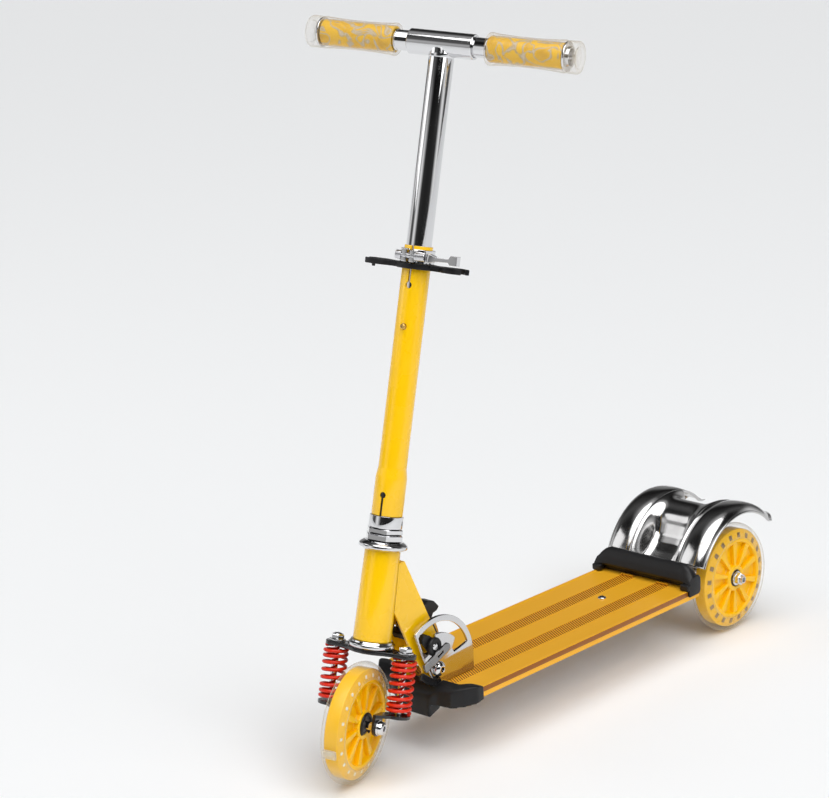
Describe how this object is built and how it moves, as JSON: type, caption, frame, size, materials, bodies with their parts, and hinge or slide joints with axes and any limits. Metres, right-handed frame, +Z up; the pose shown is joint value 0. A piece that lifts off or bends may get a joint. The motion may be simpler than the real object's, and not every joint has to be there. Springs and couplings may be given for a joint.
{
  "type": "kick scooter",
  "caption": "Child's folding kick scooter with a coil-sprung front fork, telescopic T-bar, pull-out grips, half-moon folding bracket, flat deck, paired rear wheels and a rear foot brake.",
  "frame": {"origin": "middle of the footprint on the ground", "axes": "+Z up, -Y the rolling direction, +X the rider's left"},
  "size_m": [0.2718, 0.6752, 0.7077],
  "materials": {
    "yellow_paint": "gloss yellow enamel",
    "gold_deck": "gold anodised, with matt grip strips",
    "chrome": "polished",
    "steel": "zinc plated",
    "aluminium": "as extruded",
    "brass": "satin",
    "black_paint": "semi-gloss black",
    "black_plastic": "moulded, lightly textured",
    "red_spring": "gloss red powder coat",
    "clear_tyre": "clear cast polyurethane",
    "yellow_core": "moulded",
    "clear_grip": "clear soft vinyl"
  },
  "bodies": {
    "deck": {"deck_plate": "gold_deck", "deck_frame": "aluminium", "deck_screw": "steel", "front_cap": "black_plastic", "rear_cap": "black_plastic", "left_fold_plate": "chrome", "right_fold_plate": "chrome", "pivot_bolt": "chrome", "pivot_nut": "chrome", "stop_strap": "black_paint", "rear_axle": "steel", "left_axle_nut": "chrome", "right_axle_nut": "chrome", "brake_pin": "steel", "brake_spring": "steel"},
    "head": {"head_tube": "yellow_paint", "lower_cup": "chrome", "upper_cup": "chrome", "folding_leg": "yellow_paint"},
    "latch": {"latch_slider": "black_plastic", "release_trigger": "black_plastic", "latch_knob": "black_plastic"},
    "fold_lever": {"fold_lever": "chrome"},
    "fork": {"fork_crown": "black_paint", "lock_nut": "steel", "top_nut": "steel", "column_collar": "chrome", "column_tube": "yellow_paint", "clamp_band": "chrome", "clamp_skewer": "steel", "grip_holder": "black_plastic", "left_spring": "red_spring", "right_spring": "red_spring"},
    "height_button": {"height_button": "brass"},
    "clamp_lever": {"clamp_lever": "chrome"},
    "stem": {"stem": "chrome"},
    "left_grip": {"left_grip_tube": "chrome", "left_grip_insert": "yellow_core", "left_grip_sleeve": "clear_grip", "left_grip_cap": "clear_grip"},
    "right_grip": {"right_grip_tube": "chrome", "right_grip_insert": "yellow_core", "right_grip_sleeve": "clear_grip", "right_grip_cap": "clear_grip"},
    "carriage": {"left_guide_bolt": "chrome", "right_guide_bolt": "chrome", "left_lower_bracket": "black_paint", "right_lower_bracket": "black_paint", "front_axle": "chrome", "front_axle_nut": "chrome"},
    "front_wheel": {"front_tyre": "clear_tyre", "front_core": "yellow_core", "front_bearing": "steel"},
    "left_rear_wheel": {"left_rear_tyre": "clear_tyre", "left_rear_core": "yellow_core", "left_rear_bearing": "steel"},
    "right_rear_wheel": {"right_rear_tyre": "clear_tyre", "right_rear_core": "yellow_core", "right_rear_bearing": "steel"},
    "brake": {"fender_brake": "chrome"}
  },
  "joints": [
    {"name": "fold", "type": "hinge", "parent": "deck", "child": "head", "pos_m": [0, -0.18235, 0.089], "axis": [1, 0, 0], "range_deg": [-76.7, 0]},
    {"name": "steering", "type": "hinge", "parent": "head", "child": "fork", "pos_m": [0, -0.26645, 0.06], "axis": [0, 0.23, 0.9732], "range_deg": [-32.7, 33.65]},
    {"name": "bar_height", "type": "slide", "parent": "fork", "child": "stem", "axis": [0, -0.23, -0.9732], "range_m": [-0.04, 0.15]},
    {"name": "height_button", "type": "slide", "parent": "fork", "child": "height_button", "axis": [-0.2815, 0.9338, -0.2207], "range_m": [0, 0.001], "stiffness_N_per_m": 500, "springref_m": -0.002},
    {"name": "clamp_lever", "type": "hinge", "parent": "fork", "child": "clamp_lever", "pos_m": [0.02688, -0.17777, 0.49373], "axis": [0, 0.23, 0.9732], "range_deg": [0, 80]},
    {"name": "left_grip_pull", "type": "slide", "parent": "stem", "child": "left_grip", "axis": [0.9596, 0.274, -0.0648], "range_m": [0, 0.025], "stiffness_N_per_m": 200, "springref_m": -0.02},
    {"name": "right_grip_pull", "type": "slide", "parent": "stem", "child": "right_grip", "axis": [-0.9596, -0.274, 0.0648], "range_m": [0, 0.025], "stiffness_N_per_m": 200, "springref_m": -0.02},
    {"name": "front_suspension", "type": "slide", "parent": "fork", "child": "carriage", "axis": [0, 0.23, 0.9732], "range_m": [0, 0.006], "stiffness_N_per_m": 12000, "springref_m": -0.006, "deforming": ["left_spring", "right_spring"]},
    {"name": "front_wheel_spin", "type": "hinge", "parent": "carriage", "child": "front_wheel", "pos_m": [0.0038, -0.27979, 0.05987], "axis": [0.9596, 0.274, -0.0648], "continuous": true},
    {"name": "left_wheel_spin", "type": "hinge", "parent": "deck", "child": "left_rear_wheel", "pos_m": [0, 0.26855, 0.06], "axis": [1, 0, 0], "continuous": true},
    {"name": "right_wheel_spin", "type": "hinge", "parent": "deck", "child": "right_rear_wheel", "pos_m": [0, 0.26855, 0.06], "axis": [1, 0, 0], "continuous": true},
    {"name": "foot_brake", "type": "hinge", "parent": "deck", "child": "brake", "pos_m": [0, 0.20165, 0.08], "axis": [-1, 0, 0], "range_deg": [0, 15], "stiffness_Nm_per_rad": 1.5, "springref_deg": -20.05},
    {"name": "latch_slide", "type": "slide", "parent": "head", "child": "latch", "axis": [0, -0.4384, 0.8988], "range_m": [0, 0.003], "stiffness_N_per_m": 1000, "springref_m": -0.004},
    {"name": "fold_lever", "type": "hinge", "parent": "latch", "child": "fold_lever", "pos_m": [0.0313, -0.17835, 0.1115], "axis": [0, -0.3714, 0.9285], "range_deg": [0, 100]}
  ]
}
